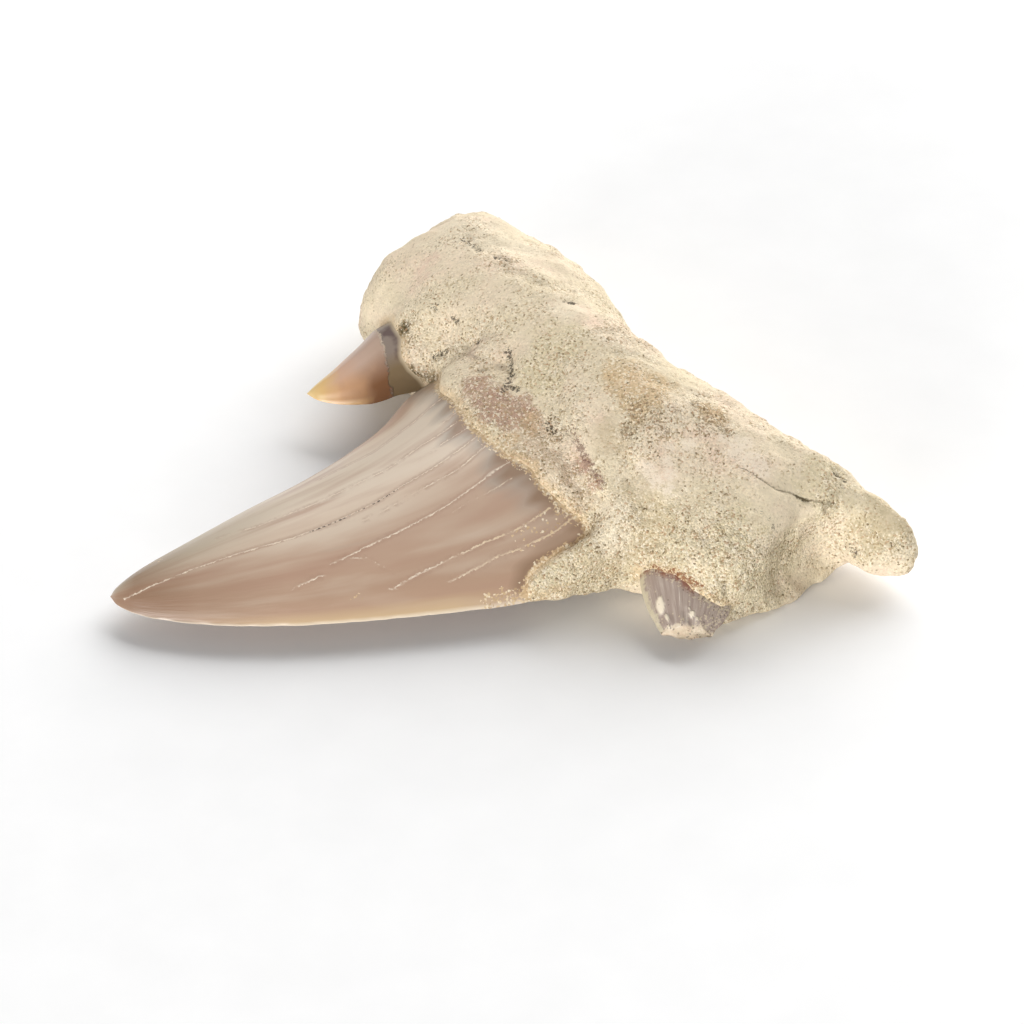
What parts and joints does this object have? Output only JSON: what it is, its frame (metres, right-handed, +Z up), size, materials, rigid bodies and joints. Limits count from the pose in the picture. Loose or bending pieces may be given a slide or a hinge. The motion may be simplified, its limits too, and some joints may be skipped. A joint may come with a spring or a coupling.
{
  "type": "fossil shark tooth",
  "caption": "Fossil shark tooth lying on its flat face, with a leaning blade-like crown, small side cusps and a lobed root crusted with cemented sand, for display.",
  "frame": {"origin": "centre of the bounding box's footprint, on the surface that the tooth lies on", "axes": "-X towards the crown's tip and +X towards the end of the narrow root lobe, +Y towards the wide root lobe, +Z up, away from the flat face that it lies on"},
  "size_m": [0.0753, 0.0572, 0.0167],
  "materials": {
    "tooth": "matt sandy crust on the root, glossy grey-brown enamel on the crown and cusps"
  },
  "bodies": {
    "root": {"tooth": "tooth"}
  },
  "joints": []
}
